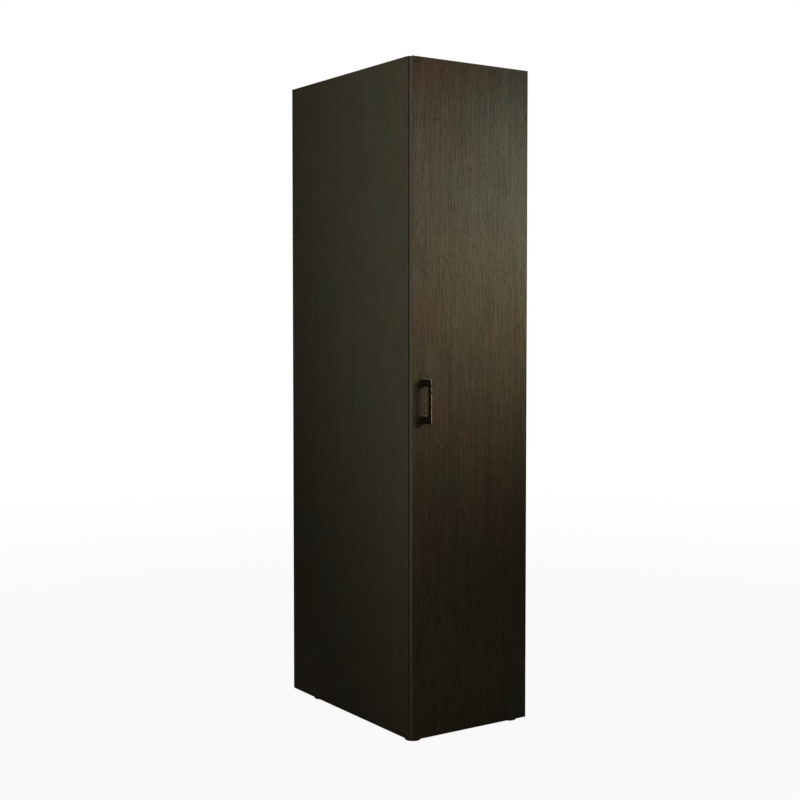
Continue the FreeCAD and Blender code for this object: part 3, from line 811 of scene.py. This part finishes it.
def addFeet():
    edge, well, top = foot["edge"], foot["well"], foot["wellTop"]
    turns = [math.radians(foot["edgeStep"] * number) for number in range(foot["edgePoints"])]
    nailOutline = [(0, nail["middle"]), (nail["radius"] - nail["shoulderInset"], nail["shoulder"]),
                   (nail["radius"], nail["rim"]), (nail["radius"], top), (0, top)]
    for row in ("front_feet", "rear_feet"):
        low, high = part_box(row)
        radius, height = (high.y - low.y) / mm / 2, (high.z - low.z) / mm
        outline = [(0, top), (well, top), (well, foot["wellRim"]), (well + foot["wellRim"], 0)]
        outline += [(radius - edge + edge * math.sin(turn), edge - edge * math.cos(turn)) for turn in turns]
        outline += [(radius - foot["taper"], height), (0, height)]
        middle = (low.y + high.y) / 2
        places = [((x, middle, low.z), (0, 0, 1)) for x in (low.x + radius * mm, high.x - radius * mm)]
        glides = copied(row + "Glides", turned(outline, foot["steps"]), places)
        nails = copied(row + "Nails", turned(nailOutline, screwMake["steps"]), places)
        for mesh in (glides, nails):
            smooth(mesh, foot["smoothUpTo"])
        name = row.replace("_feet", "")
        newPiece(name + "Glides", glides, "cabinet", "foot", "foot_plastic", [row])
        newPiece(name + "GlideNails", nails, "cabinet", *zincPlated)


# Soft domed dots on the inside of the door
dot = {
    "side": 0.5,                 # mm, straight side under the dome
    "domeStep": 10,              # degrees
    "domePoints": 10,
    "smoothUpTo": 40,            # degrees
}


def addBumpers():
    low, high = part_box("door_bumpers")
    radius = (high.x - low.x) / 2
    rise = (high.y - low.y) / mm
    arc = dome(radius / mm, dot["side"], rise, dot["domeStep"], dot["domePoints"])
    shape = turned([(0, 0), (radius / mm, 0)] + arc, screwMake["steps"])
    places = [((low.x + radius, low.y, z), (0, 1, 0)) for z in (low.z + radius, high.z - radius)]
    dots = smooth(copied("bumperDots", shape, places), dot["smoothUpTo"])
    newPiece("bumperDots", dots, "door", "bumper", "bumper", ["door_bumpers"])


# Pull handle: a cast C with broad legs, its faces a little uneven under the patina

handle = {
    "leg": 25,                   # mm along the door
    "bar": 8,
    "corner": 3,
    "innerCorner": 4,
    "cornerSteps": 6,
    "edge": 3.0,                 # mm, rounding of the bar and legs
    "edgeSteps": 4,
    "sharpFrom": 50,             # degrees between two faces
    "root": 5,                   # mm, spare length that is cut off flat at the door
    "grid": 0.75,                # mm, size of the faces
    "evenOut": {"factor": 0.5, "iterations": 3},
    "unevenness": 0.22,          # mm
    "unevenSize": 7,             # mm
    "setBack": 0.5,              # share of the unevenness, so that bumps don't stand proud of the outline
    "evenRoot": 0.5,             # mm from the door that stay even
    "smoothUpTo": 60,            # degrees
}


def cornerArc(centre, radius, start):
    # quarter circle of points in a plane, from the start angle onwards
    steps = handle["cornerSteps"]
    turns = [math.radians(start + 90 * step / steps) for step in range(steps + 1)]
    return [(centre[0] + radius * math.cos(turn), centre[1] + radius * math.sin(turn)) for turn in turns]


def handleOutline(reach, half):
    # the C from the side, as (y, z) points in mm from the door's face and the handle's middle
    outer, inner, root = handle["corner"], handle["innerCorner"], handle["root"]
    opening, barFace = half - handle["leg"], handle["bar"] - reach
    outline = [(root, half)]
    outline += cornerArc((outer - reach, half - outer), outer, 90)
    outline += cornerArc((outer - reach, outer - half), outer, 180)
    outline += [(root, -half), (root, -opening)]
    for z, start in ((inner - opening, 270), (opening - inner, 0)):
        inside = cornerArc((barFace + inner, z), inner, start)
        outline += [(2 * (barFace + inner) - y, z) for y, z in inside]        # mirrored to the bar's side
    outline += [(root, opening)]
    return outline


def addHandle():
    low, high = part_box("handle")
    width, reach, height = [(end - start) / mm for start, end in zip(low, high)]
    outline = [(-width / 2, y, z) for y, z in handleOutline(reach, height / 2)]
    cast = finishedMesh(prism("handleSolid", outline, (width, 0, 0)), [
        ("BEVEL", {"width": handle["edge"] * mm, "segments": handle["edgeSteps"], "limit_method": "ANGLE",
                   "angle_limit": math.radians(handle["sharpFrom"])}),
        ("REMESH", {"mode": "VOXEL", "voxel_size": handle["grid"] * mm}),
        ("SMOOTH", handle["evenOut"]),
    ])
    # casting unevenness, none at the legs' roots, which lie flat on the door
    for vertex, normal in [(vertex, vertex.normal.copy()) for vertex in cast.vertices]:
        settle = min(1.0, max(0.0, -vertex.co.y / mm - handle["evenRoot"]))
        bump = noise.noise(vertex.co / (handle["unevenSize"] * mm))
        vertex.co += normal * (bump * settle - handle["setBack"]) * handle["unevenness"] * mm
    trimmed = bmesh.new()
    trimmed.from_mesh(cast)
    cut = bmesh.ops.bisect_plane(trimmed, geom=trimmed.verts[:] + trimmed.edges[:] + trimmed.faces[:],
                                 plane_co=(0, 0, 0), plane_no=(0, 1, 0), clear_outer=True)
    rim = [part for part in cut["geom_cut"] if isinstance(part, bmesh.types.BMEdge)]
    bmesh.ops.holes_fill(trimmed, edges=rim, sides=0)
    trimmed.to_mesh(cast)
    trimmed.free()
    cast.transform(Matrix.Translation(((low.x + high.x) / 2, high.y, (low.z + high.z) / 2)))
    smooth(cast, handle["smoothUpTo"])
    newPiece("castHandle", cast, "door", "handle", "handle_bronze", ["handle"])


dressNodes()
print("nodes dressed:", len(nodeMaterials))
addHandle()
print("handle cast")
addHandleScrews()
addHingeScrews()
addSupportScrews()
addCatchScrews()
addBracketScrews()
print("screws set")
addFeet()
addBumpers()
print("feet and dots set")


# Floor and surroundings

stageLook = {
    "floorRadius": 14,           # m
    "floorSteps": 96,
    "floorColour": "#bcbcba",
    "floorGlow": (0.94, 1.0),    # share of plain white that the eye sees, near and far
    "glowRange": (1.2, 6.0),     # m from the cabinet
    "fill": "#ffeae0",
    "fillStrength": 0.13,
    "white": (1, 1, 1, 1),
}


def seenShare(tree):
    # 1 for a ray from the camera, a reflection or a see-through surface, else 0
    path = addNode(tree, "LightPath")
    share = path["Is Camera Ray"]
    for name in ("Is Glossy Ray", "Is Transmission Ray"):
        share = addNode(tree, "Math", {
            "Value": share, "Value_001": path[name]}, operation="MAXIMUM")["Value"]
    return share


def addFloor():
    shape = bmesh.new()
    bmesh.ops.create_circle(
        shape, cap_ends=True, segments=stageLook["floorSteps"], radius=stageLook["floorRadius"])
    mesh = meshFrom("floor", shape)
    floor = bpy.data.objects.new("floor", mesh)
    scene.collection.objects.link(floor)
    material, tree = newMaterial("palePaperFloor")
    place = addNode(tree, "TexCoord")["Object"]
    distance = addNode(tree, "VectorMath", {"Vector": place}, operation="LENGTH")["Value"]
    (near, far), (nearGlow, farGlow) = stageLook["glowRange"], stageLook["floorGlow"]
    glow = addNode(tree, "MapRange", {
        "Value": distance, "From Min": near, "From Max": far,
        "To Min": nearGlow, "To Max": farGlow})["Result"]
    share = addNode(tree, "Math", {
        "Value": glow, "Value_001": seenShare(tree)}, operation="MULTIPLY")["Value"]
    lit = addNode(tree, "BsdfDiffuse", {"Color": linearColour(stageLook["floorColour"])})["BSDF"]
    white = addNode(tree, "Emission", {"Color": stageLook["white"], "Strength": 1.0})["Emission"]
    seen = addNode(tree, "MixShader", {"Fac": share, "Shader": lit, "Shader_001": white})["Shader"]
    addNode(tree, "OutputMaterial", {"Surface": seen})
    mesh.materials.append(material)


def addSurroundings():
    world = bpy.data.worlds.new("paleStudio")
    scene.world = world
    world.use_nodes = True
    tree = world.node_tree
    tree.nodes.clear()
    fill = addNode(tree, "Background", {
        "Color": linearColour(stageLook["fill"]), "Strength": stageLook["fillStrength"]})["Background"]
    white = addNode(tree, "Background", {"Color": stageLook["white"], "Strength": 1.0})["Background"]
    seen = addNode(tree, "MixShader", {
        "Fac": seenShare(tree), "Shader": fill, "Shader_001": white})["Shader"]
    addNode(tree, "OutputWorld", {"Surface": seen})


# Lamps: place, aim and size in mm, power in W, spread in degrees
lamps = {
    "keySoftbox": {"place": (952, -1606, 1553), "aim": (23, -333, 1455), "size": (900, 450),
                   "power": 9.9, "colour": "#ffeedb", "spread": 59},
    "windowSoftbox": {"place": (1300, -2100, 1500), "aim": (230, -333, 1760), "size": (400, 400),
                      "power": 2.1, "colour": "#8cd4ff", "spread": 30},
    "sideSoftbox": {"place": (-2583, -518, 1397), "aim": (50, -1572, 1905), "size": (600, 800),
                    "power": 44.5, "colour": "#f3fbff", "spread": 100},
    "lowSoftbox": {"place": (-300, -2000, 500), "aim": (-250, -333, 250), "size": (400, 400),
                   "power": 0.16, "colour": "#fffaf2", "spread": 36},
    "rearSoftbox": {"place": (700, 3300, 1900), "aim": (60, 367, 1150), "size": (1200, 1200),
                    "power": 6.8, "colour": "#fffaf2", "spread": 60},
    "topSoftbox": {"place": (0, 1500, 4500), "aim": (0, 100, 2010), "size": (800, 800),
                   "power": 4, "colour": "#fffaf2", "spread": 30},
    "rightSoftbox": {"place": (3300, 1500, 1700), "aim": (216, 60, 1150), "size": (1200, 1200),
                     "power": 8.5, "colour": "#fffaf2", "spread": 60},
}


def addLamps():
    for name, look in lamps.items():
        data = bpy.data.lights.new(name, "AREA")
        data.shape = "RECTANGLE"
        data.size, data.size_y = (side * mm for side in look["size"])
        data.energy = look["power"]
        data.color = linearColour(look["colour"])[:3]
        data.spread = math.radians(look["spread"])
        lamp = bpy.data.objects.new(name, data)
        scene.collection.objects.link(lamp)
        lamp.location = Vector(look["place"]) * mm
        aim = Vector(look["aim"]) - Vector(look["place"])
        lamp.rotation_euler = aim.to_track_quat("-Z", "Y").to_euler()
        lamp.visible_camera = False


# Camera at the photograph's view
cameraLook = {
    "place": (-2413, -3519, 1236),        # mm
    "yaw": 34.07,                # degrees to the right of the door's normal
    "pitch": 2.33,               # degrees down
    "lens": 60.0,                # mm
    "sensor": 36,                # mm
    "shiftUp": -0.0275,
}


def addCamera():
    data = bpy.data.cameras.new("camera")
    data.lens = cameraLook["lens"]
    data.sensor_width = cameraLook["sensor"]
    data.shift_y = cameraLook["shiftUp"]
    camera = bpy.data.objects.new("camera", data)
    scene.collection.objects.link(camera)
    camera.location = Vector(cameraLook["place"]) * mm
    camera.rotation_euler = (math.radians(90 - cameraLook["pitch"]), 0, math.radians(-cameraLook["yaw"]))
    scene.camera = camera


addFloor()
addSurroundings()
addLamps()
addCamera()
scene.view_settings.view_transform = "Standard"
print("floor, surroundings, lamps and camera set")
